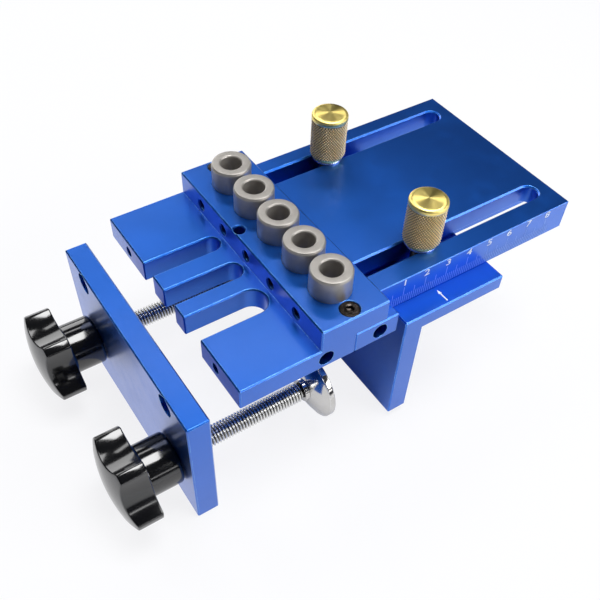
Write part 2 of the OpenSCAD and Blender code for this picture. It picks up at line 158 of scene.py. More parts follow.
class Graph:
    """A node tree with short calls for adding and joining its nodes."""

    def __init__(self, tree: bpy.types.NodeTree) -> None:
        """Keeps the tree that the calls work on."""
        self.tree = tree

    def add(self, kind: str, **settings: object) -> bpy.types.Node:
        """Adds a node.

        Args:
            kind: Node type without its ShaderNode prefix.
            settings: Properties to set on the node.

        Returns:
            The new node.
        """
        node = self.tree.nodes.new("ShaderNode" + kind)
        for name, value in settings.items():
            setattr(node, name, value)
        return node

    def join(self, source: bpy.types.NodeSocket, target: bpy.types.NodeSocket) -> None:
        """Links two sockets."""
        self.tree.links.new(source, target)

    def feed(self, target: bpy.types.NodeSocket, value: object) -> None:
        """Links a socket to target, or sets target's own value.

        Args:
            target: Input socket.
            value: Number, colour or output socket.
        """
        if isinstance(value, bpy.types.NodeSocket):
            self.join(value, target)
        else:
            target.default_value = value

    def math(self, operation: str, a: object, b: object = 0.0,
             clamp: bool = False) -> bpy.types.NodeSocket:
        """Adds a Math node.

        Args:
            operation: Name of the sum.
            a: First number or socket.
            b: Second number or socket.
            clamp: Whether the result is kept between 0 and 1.

        Returns:
            The result's socket.
        """
        node = self.add("Math", operation=operation, use_clamp=clamp)
        self.feed(node.inputs[0], a)
        self.feed(node.inputs[1], b)
        return node.outputs[0]

    def mix(self, share: object, a: object, b: object) -> bpy.types.NodeSocket:
        """Adds a colour mix.

        Args:
            share: How much of b shows, as a number or socket.
            a: First colour or socket.
            b: Second colour or socket.

        Returns:
            The result's socket.
        """
        node = self.add("Mix", data_type="RGBA")
        self.feed(node.inputs["Factor"], share)
        self.feed(node.inputs["A"], a)
        self.feed(node.inputs["B"], b)
        return node.outputs["Result"]

    def span(self, value: object, low: float, high: float, to_low: float = 0.0,
             to_high: float = 1.0) -> bpy.types.NodeSocket:
        """Maps a value from one span to another, smoothly and clamped.

        Args:
            value: What is mapped.
            low: Value that gives to_low.
            high: Value that gives to_high.
            to_low: Result at low.
            to_high: Result at high.

        Returns:
            The result's socket.
        """
        node = self.add("MapRange", interpolation_type="SMOOTHSTEP")
        self.feed(node.inputs["Value"], value)
        for name, number in (("From Min", low), ("From Max", high),
                             ("To Min", to_low), ("To Max", to_high)):
            node.inputs[name].default_value = number
        return node.outputs["Result"]

    def noise(self, vector: object, scale: object, detail: float = 2.0,
              rough: float = 0.5) -> bpy.types.NodeSocket:
        """Adds a noise texture.

        Args:
            vector: Socket of the place.
            scale: Number or socket of the noise's scale.
            detail: Number of octaves.
            rough: Share of each finer octave.

        Returns:
            The value's socket.
        """
        node = self.add("TexNoise")
        self.feed(node.inputs["Vector"], vector)
        self.feed(node.inputs["Scale"], scale)
        node.inputs["Detail"].default_value = detail
        node.inputs["Roughness"].default_value = rough
        return node.outputs["Fac"]

    def polar(self, vector: bpy.types.NodeSocket) -> tuple[bpy.types.NodeSocket, bpy.types.NodeSocket]:
        """Splits a place into its distance from the Z axis and its height.

        Args:
            vector: Socket of the place.

        Returns:
            The sockets of the distance and the height.
        """
        split = self.add("SeparateXYZ")
        self.join(vector, split.inputs[0])
        square = self.math("ADD", self.math("MULTIPLY", split.outputs[0], split.outputs[0]),
                           self.math("MULTIPLY", split.outputs[1], split.outputs[1]))
        return self.math("SQRT", square), split.outputs[2]


@dataclass(frozen=True)
class Effect:
    """A shader node group, built once and placed in each material that uses it."""

    name: str
    inputs: tuple[tuple[str, str, float], ...]
    outputs: tuple[tuple[str, str], ...]
    draw: Callable[[Graph, bpy.types.Node, bpy.types.Node], None]

    def tree(self) -> bpy.types.NodeTree:
        """Builds the group's tree the first time that it is asked for.

        Returns:
            The group's tree.
        """
        found = bpy.data.node_groups.get(self.name)
        if found:
            return found
        tree = bpy.data.node_groups.new(self.name, "ShaderNodeTree")
        for name, kind, value in self.inputs:
            socket = tree.interface.new_socket(name, in_out="INPUT",
                                               socket_type="NodeSocket" + kind)
            if kind == "Float":
                socket.default_value = value
        for name, kind in self.outputs:
            tree.interface.new_socket(name, in_out="OUTPUT",
                                      socket_type="NodeSocket" + kind)
        graph = Graph(tree)
        self.draw(graph, tree.nodes.new("NodeGroupInput"), tree.nodes.new("NodeGroupOutput"))
        return tree

    def place(self, graph: Graph, **values: object) -> bpy.types.Node:
        """Places the group in a material.

        Args:
            graph: The material's graph.
            values: Input values or sockets by name, with _ for a space.

        Returns:
            The group's node.
        """
        node = graph.add("Group", node_tree=self.tree())
        for name, value in values.items():
            graph.feed(node.inputs[name.replace("_", " ")], value)
        return node


def draw_edge_wear(graph: Graph, given: bpy.types.Node, out: bpy.types.Node) -> None:
    """Draws the mask of the outer edges, where rounded and true normals part, broken up by noise: edge wear
    and a painted edge highlight.

    Args:
        graph: The group's graph.
        given: Node with the group's inputs.
        out: Node with the group's outputs.
    """
    bevel = graph.add("Bevel", samples=6)
    graph.join(given.outputs["Reach"], bevel.inputs["Radius"])
    geometry = graph.add("NewGeometry")
    dot = graph.add("VectorMath", operation="DOT_PRODUCT")
    graph.join(bevel.outputs[0], dot.inputs[0])
    graph.join(geometry.outputs["True Normal"], dot.inputs[1])
    edge = graph.span(dot.outputs["Value"], low=0.995, high=0.9)
    patches = graph.noise(given.outputs["Vector"], given.outputs["Patch Scale"], 3.0, 0.6)
    broken = graph.span(patches, low=0.3, high=0.62)
    graph.join(graph.math("MULTIPLY", edge, broken, clamp=True), out.inputs["Mask"])
    graph.join(bevel.outputs[0], out.inputs["Normal"])


def draw_grain(graph: Graph, given: bpy.types.Node, out: bpy.types.Node) -> None:
    """Draws fine blasted grain and broad, faint cloudiness.

    Args:
        graph: The group's graph.
        given: Node with the group's inputs.
        out: Node with the group's outputs.
    """
    fine = graph.noise(given.outputs["Vector"], given.outputs["Fine Scale"], 2.0, 0.6)
    cloud = graph.noise(given.outputs["Vector"], given.outputs["Cloud Scale"], 3.0, 0.55)
    graph.join(fine, out.inputs["Height"])
    graph.join(graph.span(cloud, low=0.3, high=0.7), out.inputs["Cloud"])


def draw_tool_marks(graph: Graph, given: bpy.types.Node, out: bpy.types.Node) -> None:
    """Draws the rings that the lathe leaves round the piece's own Z axis.

    Args:
        graph: The group's graph.
        given: Node with the group's inputs.
        out: Node with the group's outputs.
    """
    radius, height = graph.polar(given.outputs["Vector"])
    together = graph.add("CombineXYZ")
    graph.join(radius, together.inputs[0])
    graph.join(height, together.inputs[1])
    rings = graph.noise(together.outputs[0], given.outputs["Ring Scale"], 3.0, 0.7)
    graph.join(rings, out.inputs["Height"])


def draw_smudges(graph: Graph, given: bpy.types.Node, out: bpy.types.Node) -> None:
    """Draws faint handling marks: soft patches with thin scratches in them.

    Args:
        graph: The group's graph.
        given: Node with the group's inputs.
        out: Node with the group's outputs.
    """
    patches = graph.noise(given.outputs["Vector"], given.outputs["Patch Scale"], 4.0, 0.62)
    stretched = graph.add("Mapping")
    graph.join(given.outputs["Vector"], stretched.inputs["Vector"])
    stretched.inputs["Rotation"].default_value = (0.4, 0.9, 0.3)
    stretched.inputs["Scale"].default_value = (1.0, 14.0, 14.0)
    scratch = graph.noise(stretched.outputs[0], given.outputs["Patch Scale"], 2.0, 0.5)
    lines = graph.span(scratch, low=0.66, high=0.72)
    graph.join(graph.span(patches, low=0.42, high=0.72), out.inputs["Mask"])
    graph.join(graph.math("MULTIPLY", lines, 0.5, clamp=True), out.inputs["Scratch"])


def draw_grooves(graph: Graph, given: bpy.types.Node, out: bpy.types.Node) -> None:
    """Draws a mask that rises from the foot to the crest of a thread or knurl round Z, for painted shade in
    its grooves.

    Args:
        graph: The group's graph.
        given: Node with the group's inputs.
        out: Node with the group's outputs.
    """
    ramp = graph.add("MapRange", interpolation_type="SMOOTHSTEP")
    graph.join(graph.polar(given.outputs["Vector"])[0], ramp.inputs["Value"])
    graph.join(given.outputs["Foot"], ramp.inputs["From Min"])
    graph.join(given.outputs["Crest"], ramp.inputs["From Max"])
    graph.join(ramp.outputs["Result"], out.inputs["Mask"])


# Mask of edge wear and of a painted highlight along the edges.
EDGE_WEAR_AND_HIGHLIGHT = Effect("edge_wear",
                   (("Vector", "Vector", 0.0), ("Reach", "Float", 0.0005), ("Patch Scale", "Float", 200.0)),
                   (("Mask", "Float"), ("Normal", "Vector")), draw_edge_wear)
GRAIN = Effect("blasted_grain",
               (("Vector", "Vector", 0.0), ("Fine Scale", "Float", 3000.0), ("Cloud Scale", "Float", 40.0)),
               (("Height", "Float"), ("Cloud", "Float")), draw_grain)
TOOL_MARKS = Effect("tool_marks", (("Vector", "Vector", 0.0), ("Ring Scale", "Float", 2500.0)),
                    (("Height", "Float"),), draw_tool_marks)
# Mask of painted shade in the grooves of threads and knurls.
GROOVE_SHADE = Effect("grooves",
                 (("Vector", "Vector", 0.0), ("Foot", "Float", 0.003), ("Crest", "Float", 0.004)),
                 (("Mask", "Float"),), draw_grooves)
SMUDGES = Effect("smudges", (("Vector", "Vector", 0.0), ("Patch Scale", "Float", 60.0)),
                 (("Mask", "Float"), ("Scratch", "Float")), draw_smudges)


# Finishes


def opaque(colour: Colour) -> tuple[float, float, float, float]:
    """Returns the colour with full alpha."""
    return (*colour, 1.0)


@dataclass(frozen=True)
class Finish:
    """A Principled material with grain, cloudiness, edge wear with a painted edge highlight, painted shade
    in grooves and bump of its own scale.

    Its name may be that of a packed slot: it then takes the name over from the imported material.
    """

    name: str
    colour: Colour
    cloud_colour: Colour
    edge_colour: Colour
    metallic: float
    roughness: float
    rough_spread: float = 0.08
    grain: float = 0.0002
    bump_strength: float = 0.6
    grain_scale: float = 3000.0
    cloud_scale: float = 40.0
    edge_reach: float = 0.0005
    turned: bool = False
    ring_scale: float = 2500.0
    coat: float = 0.0
    coat_roughness: float = 0.06
    smudge_scale: float = 60.0
    ior: float = 1.5
    coat_ior: float = 1.5
    streak: float = 0.0
    # Radii from foot to crest, and the colour, of painted shade in grooves.
    grooves: tuple[float, float] | None = None
    groove_colour: Colour = (0.02, 0.02, 0.02)

    def material(self) -> bpy.types.Material:
        """Builds the material the first time that it is asked for.

        Returns:
            The material.
        """
        found = bpy.data.materials.get(self.name)
        if found and found.get("finish"):
            return found
        if found:
            found.name = f"{self.name}_packed"
        material = bpy.data.materials.new(self.name)
        material["finish"] = True
        material.use_nodes = True
        graph = Graph(material.node_tree)
        shader = material.node_tree.nodes["Principled BSDF"]
        place = graph.add("TexCoord").outputs["Object"]
        grain = GRAIN.place(graph, Vector=place, Fine_Scale=self.grain_scale,
                            Cloud_Scale=self.cloud_scale)
        edge = EDGE_WEAR_AND_HIGHLIGHT.place(graph, Vector=place, Reach=self.edge_reach)
        smudge = SMUDGES.place(graph, Vector=place, Patch_Scale=self.smudge_scale)
        clouded = graph.mix(grain.outputs["Cloud"], opaque(self.colour), opaque(self.cloud_colour))
        # Lighter edges: edge wear, and a painted highlight along chamfers and shoulders.
        worn_with_painted_light = graph.mix(edge.outputs["Mask"], clouded, opaque(self.edge_colour))
        # Painted shade: thread and knurl grooves darker towards their foot.
        if self.grooves:
            foot, top = self.grooves
            crest = GROOVE_SHADE.place(graph, Vector=place, Foot=foot, Crest=top)
            worn_with_painted_light = graph.mix(crest.outputs["Mask"], opaque(self.groove_colour), worn_with_painted_light)
        graph.join(worn_with_painted_light, shader.inputs["Base Color"])
        height = grain.outputs["Height"]
        if self.turned:
            marks = TOOL_MARKS.place(graph, Vector=place, Ring_Scale=self.ring_scale)
            height = marks.outputs["Height"]
        rough = graph.math("MULTIPLY_ADD", smudge.outputs["Mask"], self.rough_spread)
        rough.node.inputs[2].default_value = self.roughness
        scratched = graph.math("MULTIPLY_ADD", smudge.outputs["Scratch"], self.rough_spread)
        graph.join(rough, scratched.node.inputs[2])
        graph.join(scratched, shader.inputs["Roughness"])
        bump = graph.add("Bump")
        bump.inputs["Strength"].default_value = self.bump_strength
        bump.inputs["Distance"].default_value = self.grain
        graph.join(height, bump.inputs["Height"])
        graph.join(edge.outputs["Normal"], bump.inputs["Normal"])
        graph.join(bump.outputs[0], shader.inputs["Normal"])
        shader.inputs["Metallic"].default_value = self.metallic
        shader.inputs["Coat Weight"].default_value = self.coat
        shader.inputs["Coat Roughness"].default_value = self.coat_roughness
        shader.inputs["Coat IOR"].default_value = self.coat_ior
        shader.inputs["IOR"].default_value = self.ior
        if self.streak:
            shader.inputs["Anisotropic"].default_value = self.streak
            tangent = graph.add("Tangent", direction_type="RADIAL", axis="Z")
            graph.join(tangent.outputs[0], shader.inputs["Tangent"])
        return material


# The light cyan edge colour is edge wear and a painted highlight along the chamfers.
ANODISED = Finish("blue_anodised", (0.010, 0.128, 0.60), (0.012, 0.140, 0.65), (0.26, 0.62, 0.98),
                  metallic=1.0, roughness=0.38, rough_spread=0.06, grain=0.00002, grain_scale=5200.0,
                  cloud_scale=26.0, edge_reach=0.0003, coat=0.7, coat_roughness=0.24, coat_ior=1.5)
SINTERED = Finish("bushing_steel", (0.42, 0.395, 0.365), (0.48, 0.455, 0.425), (0.78, 0.75, 0.72),
                  metallic=0.72, roughness=0.42, grain=0.00003, grain_scale=2600.0, cloud_scale=160.0,
                  edge_reach=0.0003, turned=True, ring_scale=1800.0)
BLACK_OXIDE = Finish("black_steel", (0.035, 0.028, 0.024), (0.05, 0.04, 0.034), (0.30, 0.26, 0.22),
                     metallic=0.85, roughness=0.24, grain=0.00002, grain_scale=4000.0, cloud_scale=300.0,
                     edge_reach=0.00015)
ZINC_PLATE = Finish("zinc_steel", (0.74, 0.74, 0.73), (0.80, 0.80, 0.79), (0.95, 0.95, 0.95),
                    metallic=1.0, roughness=0.22, grain=0.00001, grain_scale=3800.0, cloud_scale=240.0,
                    edge_reach=0.0001, grooves=(0.0032, 0.0036), groove_colour=(0.13, 0.13, 0.125))
BRIGHT_STEEL = Finish("bright_steel", (0.86, 0.86, 0.88), (0.9, 0.9, 0.92), (0.96, 0.96, 0.97),
                      metallic=0.9, roughness=0.2, grain=0.00001, grain_scale=3000.0, cloud_scale=200.0,
                      edge_reach=0.0002, turned=True)
CHROME_PLATE = Finish("chrome", (0.55, 0.54, 0.525), (0.60, 0.59, 0.575), (0.9, 0.9, 0.9),
                      metallic=1.0, roughness=0.09, rough_spread=0.05, grain=0.000004, grain_scale=900.0,
                      cloud_scale=120.0, edge_reach=0.0003, turned=True, ring_scale=900.0)
GLOSS_PLASTIC = Finish("black_plastic", (0.0025, 0.0025, 0.003), (0.004, 0.004, 0.005), (0.01, 0.01, 0.011),
                       metallic=0.0, roughness=0.11, rough_spread=0.03, grain=0.0000008, grain_scale=1500.0,
                       cloud_scale=90.0, edge_reach=0.0002, ior=1.75)
# The cream edge colour, wide on the cap's shoulder, is a painted highlight there.
TURNED_BRASS = Finish("brass", (1.0, 0.78, 0.23), (1.0, 0.82, 0.27), (1.0, 0.94, 0.70),
                      metallic=1.0, roughness=0.36, rough_spread=0.04, grain=0.000015, grain_scale=3000.0,
                      cloud_scale=180.0, edge_reach=0.0009, turned=True, ring_scale=2600.0, streak=0.85)
KNURLED_BRASS = Finish("brass_knurl", (1.0, 0.74, 0.34), (1.0, 0.79, 0.40), (1.0, 0.94, 0.74),
                       metallic=0.25, roughness=0.3, rough_spread=0.08, grain=0.00001, grain_scale=4000.0,
                       cloud_scale=400.0, edge_reach=0.0001, grooves=(0.00672, 0.00695),
                       groove_colour=(0.34, 0.25, 0.12))
# Near-black, darker than the zinc that the studs are: painted shade under the thumb nuts.
SHADED_STUD_STEEL = Finish("stud_steel", (0.07, 0.07, 0.075), (0.09, 0.09, 0.095), (0.3, 0.3, 0.31),
                    metallic=0.9, roughness=0.3, grain=0.00002, grain_scale=3800.0, cloud_scale=240.0,
                    edge_reach=0.00012)
TICK_INK = Finish("tick_ink", (0.17, 0.32, 0.82), (0.20, 0.36, 0.86), (0.3, 0.45, 0.9),
                  metallic=0.0, roughness=0.5, grain=0.00001, grain_scale=9000.0, cloud_scale=500.0,
                  edge_reach=0.00005)
WHITE_INK = Finish("white_ink", (0.70, 0.78, 0.93), (0.78, 0.84, 0.96), (0.85, 0.9, 0.98),
                   metallic=0.0, roughness=0.5, grain=0.00001, grain_scale=9000.0, cloud_scale=500.0,
                   edge_reach=0.00005)


# Mesh tools


def link(name: str, data: bpy.types.ID) -> bpy.types.Object:
    """Puts a new object in the scene.

    Args:
        name: Name of the object.
        data: Its mesh, curve, light or camera.

    Returns:
        The object.
    """
    thing = bpy.data.objects.new(name, data)
    bpy.context.scene.collection.objects.link(thing)
    return thing


@dataclass
class Shell:
    """Vertices and faces of a piece while it is put together."""

    vertices: list[tuple[float, float, float]] = field(default_factory=list)
    faces: list[tuple[int, ...]] = field(default_factory=list)

    def ring(self, radius: Callable[[float], float], height: Callable[[float], float],
             steps: int) -> list[int]:
        """Adds a ring of vertices round Z.

        Args:
            radius: Radius at an angle in radians.
            height: Height at an angle in radians.
            steps: Number of vertices.

        Returns:
            The numbers of the vertices.
        """
        first = len(self.vertices)
        for i in range(steps):
            angle = 2 * math.pi * i / steps
            r = radius(angle)
            self.vertices.append((r * math.cos(angle), r * math.sin(angle), height(angle)))
        return list(range(first, first + steps))

    def bridge(self, low: Sequence[int], high: Sequence[int]) -> None:
        """Joins two rings of the same length by quads, facing out where high is above low.

        Args:
            low: Vertex numbers of the lower ring.
            high: Vertex numbers of the upper ring.
        """
        count = len(low)
        for i in range(count):
            k = (i + 1) % count
            self.faces.append((low[i], low[k], high[k], high[i]))

    def tip(self, ring: Sequence[int], point: tuple[float, float, float], above: bool) -> None:
        """Closes a ring with a fan to one point.

        Args:
            ring: Vertex numbers of the ring.
            point: Where the fan meets.
            above: Whether the point lies above the ring.
        """
        self.vertices.append(point)
        apex = len(self.vertices) - 1
        for i in range(len(ring)):
            k = (i + 1) % len(ring)
            self.faces.append((ring[i], ring[k], apex) if above else (ring[k], ring[i], apex))

    def make(self, name: str, finish: Finish, smooth_below: float = 30.0) -> bpy.types.Object:
        """Makes an object of the vertices and faces.

        Args:
            name: Name of the object and its mesh.
            finish: What its material is made of.
            smooth_below: Edges that turn by less than this many degrees are shaded smooth.

        Returns:
            The new object.
        """
        mesh = bpy.data.meshes.new(name)
        mesh.from_pydata(self.vertices, [], self.faces)
        mesh.update()
        mesh.polygons.foreach_set("use_smooth", [True] * len(mesh.polygons))
        mesh.set_sharp_from_angle(angle=math.radians(smooth_below))
        mesh.materials.append(finish.material())
        LOG.info("built %s: %d vertices, %d faces", name, len(mesh.vertices), len(mesh.polygons))
        return link(name, mesh)


def round_corners(points: Sequence[Point], radii: dict[int, float], steps: int = 5) -> list[Point]:
    """Rounds corners of a profile.

    Args:
        points: Corners as (radius, height).
        radii: Rounding radius by corner number.
        steps: Faces in each rounding.

    Returns:
        The profile with its corners replaced by arcs.
    """
    result: list[Point] = []
    for i, corner in enumerate(points):
        size = radii.get(i, 0.0)
        if not size or i in (0, len(points) - 1):
            result.append(corner)
            continue
        here = Vector(corner)
        back = Vector(points[i - 1]) - here
        ahead = Vector(points[i + 1]) - here
        half = back.angle(ahead) / 2
        cut = min(size / math.tan(half), back.length * MOST_CUT, ahead.length * MOST_CUT)
        true_size = cut * math.tan(half)
        back.normalize()
        ahead.normalize()
        centre = here + (back + ahead).normalized() * (true_size / math.sin(half))
        start = here + back * cut - centre
        end = here + ahead * cut - centre
        swing = start.angle(end)
        for k in range(steps + 1):
            share = k / steps
            point = start * math.sin((1 - share) * swing) + end * math.sin(share * swing)
            result.append(tuple(centre + point / math.sin(swing)))
    return result


def lathe(shell: Shell, profile: Sequence[Point], steps: int = 96) -> None:
    """Turns a profile round Z.

    Args:
        shell: Where the faces go.
        profile: (radius, height) from the lower end round the outside; a zero radius closes an end.
        steps: Faces round the axis.
    """
    previous: list[int] = []
    closing: float | None = None
    for radius, height in profile:
        if radius < ON_AXIS:
            if previous:
                shell.tip(previous, (0.0, 0.0, height), above=True)
                previous = []
            else:
                closing = height
            continue
        ring = shell.ring(lambda _: radius, lambda _: height, steps)
        if previous:
            shell.bridge(previous, ring)
        elif closing is not None:
            shell.tip(ring, (0.0, 0.0, closing), above=False)
        previous = ring


def arc(centre: Point, radius: float, start: float, end: float, steps: int) -> list[Point]:
    """Works out the points of an arc in a profile.

    Args:
        centre: The arc's middle as (radius, height).
        radius: The arc's radius.
        start: First angle in degrees, from +radius towards +height.
        end: Last angle in degrees.
        steps: Number of straight parts.

    Returns:
        The arc's points.
    """
    result = []
    for i in range(steps + 1):
        angle = math.radians(start + (end - start) * i / steps)
        result.append((centre[0] + radius * math.cos(angle), centre[1] + radius * math.sin(angle)))
    return result


def seat(thing: bpy.types.Object, facing: Facing, origin: Vector, body: str, slot: Slot,
         *nodes: str) -> bpy.types.Object:
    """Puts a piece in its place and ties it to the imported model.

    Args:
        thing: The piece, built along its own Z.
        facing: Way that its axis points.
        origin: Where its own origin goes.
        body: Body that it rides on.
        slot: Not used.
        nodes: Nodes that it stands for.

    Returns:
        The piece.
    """
    thing.matrix_world = facing.matrix(origin)
    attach(thing, body)
    if nodes:
        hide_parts(*nodes)
    return thing


def node_axis(node: str) -> Vector:
    """Middle of a node's box."""
    low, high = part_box(node)
    return (low + high) / 2


def standing(node: str) -> tuple[float, float, Vector]:
    """Measures a turned node that stands upright.

    Args:
        node: Name of the node.

    Returns:
        Its radius, its height and the middle of its foot.
    """
    low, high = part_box(node)
    middle = node_axis(node)
    return (high.x - low.x) / 2, high.z - low.z, Vector((middle.x, middle.y, low.z))


# Pieces


@dataclass
class MilledPlates:
    """The milled and anodised pieces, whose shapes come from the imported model."""

    nodes: tuple[str, ...] = ("fork_body", "cross_bar", "rear_plate", "clamp_bar", "fence_bracket")
    screws: tuple[str, ...] = ("bushing_set_screws", "cross_bar_screws", "plate_screws")

    def dress(self, frame: dict) -> None:
        """Gives each node its finish.
        """
        for names, finish in ((self.nodes, ANODISED), (self.screws, BLACK_OXIDE)):
            for name in names:
                thing = frame["nodes"][name]
                thing.data.materials.clear()
                thing.data.materials.append(finish.material())
                LOG.info("dressed %s as %s", name, finish.name)


@dataclass
class DrillBushings:
    """Five plain bushings with a bevelled rim, a countersunk mouth and a bore."""

    count: int = 5
    bore: float = 8.1 * MM
    rim_rise: float = 0.9 * MM
    mouth: float = 0.45 * MM
    edge: float = 0.22 * MM

    def build(self) -> None:
        """Builds each bushing in the place of its node."""
        for i in range(self.count):
            node = f"drill_bushing_{i + 1}"
            radius, height, foot = standing(node)
            bore = self.bore / 2
            corners = [(bore, 0.0), (radius - self.rim_rise / 2, 0.0), (radius, self.rim_rise / 2),
                       (radius, height - self.rim_rise), (radius - self.rim_rise / 2, height),
                       (bore + self.mouth, height), (bore, height - self.mouth), (bore, 0.0)]
            shell = Shell()
            lathe(shell, round_corners(corners, {n: self.edge for n in range(2, 7)}, steps=3))
            thing = shell.make(f"bushing_turned_{i + 1}", SINTERED, smooth_below=50.0)
            seat(thing, Facing.UP, foot, "jig", Slot.BUSHING, node)


@dataclass
class ThreadForm:
    """A rolled screw thread as a band that winds round its own Z axis."""

    pitch: float
    outer: float
    depth_share: float = 0.6
    steps: int = 32
    form: tuple[Point, ...] = ((0.0, 0.0), (0.12, 0.0), (0.20, 0.12), (0.42, 0.90), (0.49, 1.0),
                               (0.60, 1.0), (0.67, 0.90), (0.90, 0.12))

    @property
    def root(self) -> float:
        """Radius at the thread's foot."""
        return self.outer - self.pitch * self.depth_share

    def wind(self, shell: Shell, start: float, end: float) -> None:
        """Adds the thread from start to end along Z.

        Args:
            shell: Where the faces go.
            start: Height where the thread begins.
            end: Height where it ends.
        """
        turns = int(math.ceil((end - start) / self.pitch)) + 1
        first = len(shell.vertices)
        rows = turns * self.steps + 1
        size = len(self.form)
        for row in range(rows):
            angle = 2 * math.pi * row / self.steps
            for along, up in self.form:
                z = start + (row / self.steps - 1 + along) * self.pitch
                fade = min(1.0, max(0.0, (z - start) / self.pitch), max(0.0, (end - z) / self.pitch))
                r = self.root + (self.outer - self.root) * up * fade
                z = min(max(z, start), end)
                shell.vertices.append((r * math.cos(angle), r * math.sin(angle), z))
        for row in range(rows - 1):
            for k in range(size):
                a = first + row * size + k
                b = a + size
                if k < size - 1:
                    shell.faces.append((a, b, b + 1, a + 1))
                elif row + self.steps < rows - 1:
                    c = first + (row + self.steps) * size
                    shell.faces.append((a, b, c + size, c))


@dataclass
class ClampScrews:
    """Threaded clamp screws with a neck and ball in the pad and a head moulded into the knob."""

    thread: ThreadForm = field(default_factory=lambda: ThreadForm(pitch=1.25 * MM, outer=3.95 * MM))
    neck: float = 2.08 * MM
    ball: float = 3.04 * MM
    ball_back: float = 3.99 * MM
    thread_back: float = 7.9 * MM
    head: float = 4.0 * MM
    edge: float = 0.4 * MM
    turn_steps: int = 48

    def build(self) -> None:
        """Builds both screws in the place of their nodes."""
        for side in Side:
            node = f"clamp_screw_{side.label}"
            low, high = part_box(node)
            end = Vector((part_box(f"swivel_pad_{side.label}")[1].x, *node_axis(node).yz))
            head_r = (high.z - low.z) / 2
            length = end.x - low.x
            shell = Shell()
            neck_turn = 90.0 - math.degrees(math.asin(self.neck / self.ball))
            ball = arc((0.0, self.ball_back), self.ball, -90.0, neck_turn, steps=16)
            collar = round_corners([(self.neck, ball[-1][1]), (self.neck, self.thread_back),
                                    (self.thread.root, self.thread_back + self.edge),
                                    (0.0, self.thread_back + 3 * self.edge)], {1: self.edge})
            lathe(shell, [(0.0, ball[0][1])] + ball[1:] + collar, self.turn_steps)
            self.thread.wind(shell, self.thread_back, length - self.head)
            top = round_corners([(0.0, length - self.head), (head_r, length - self.head), (head_r, length),
                                 (0.0, length)], {1: self.edge, 2: self.edge})
            lathe(shell, top, self.turn_steps)
            thing = shell.make(f"screw_threaded_{side.label}", ZINC_PLATE, smooth_below=25.0)
            seat(thing, Facing.FRONT, end, f"screw_{side.label}", Slot.ZINC, node)


@dataclass
class SwivelPads:
    """Chromed pads: a thin rim, a low dome and a collar round the screw's ball."""

    rim: float = 2.3 * MM
    lip: float = 0.45 * MM
    dome_high: float = 4.3 * MM
    collar: float = 4.68 * MM
    bore: float = 2.48 * MM
    fillet: float = 0.3 * MM
    ball_back: float = 3.99 * MM
    socket: float = 3.09 * MM

    def build(self) -> None:
        """Builds both pads in the place of their nodes."""
        for side in Side:
            node = f"swivel_pad_{side.label}"
            low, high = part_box(node)
            radius = (high.z - low.z) / 2
            length = high.x - low.x
            cap = radius - self.lip
            dome = (cap * cap + self.dome_high ** 2) / (2 * self.dome_high)
            centre = self.rim + self.dome_high - dome
            start = math.degrees(math.asin((self.rim - centre) / dome))
            end = math.degrees(math.acos((self.collar + self.fillet) / dome))
            edges = round_corners([(0.0, 0.0), (radius, 0.0), (radius, self.rim), (cap, self.rim)],
                                  {1: self.lip, 2: self.lip}, steps=6)
            curve = arc((0.0, centre), dome, start, end, steps=28)
            mouth = math.degrees(math.acos(self.bore / self.socket))
            socket = arc((0.0, self.ball_back), self.socket, mouth, -90.0, steps=24)
            top = round_corners([curve[-1], (self.collar, curve[-1][1]), (self.collar, length),
                                 (self.bore, length), socket[0]], {n: self.fillet for n in (1, 2, 3)})
            shell = Shell()
            lathe(shell, edges + curve[1:] + top[1:] + socket[1:-1] + [(0.0, socket[-1][1])])
            thing = shell.make(f"pad_chromed_{side.label}", CHROME_PLATE, smooth_below=40.0)
            end_middle = Vector((high.x, *node_axis(node).yz))
            seat(thing, Facing.FRONT, end_middle, f"pad_{side.label}", Slot.CHROME, node)


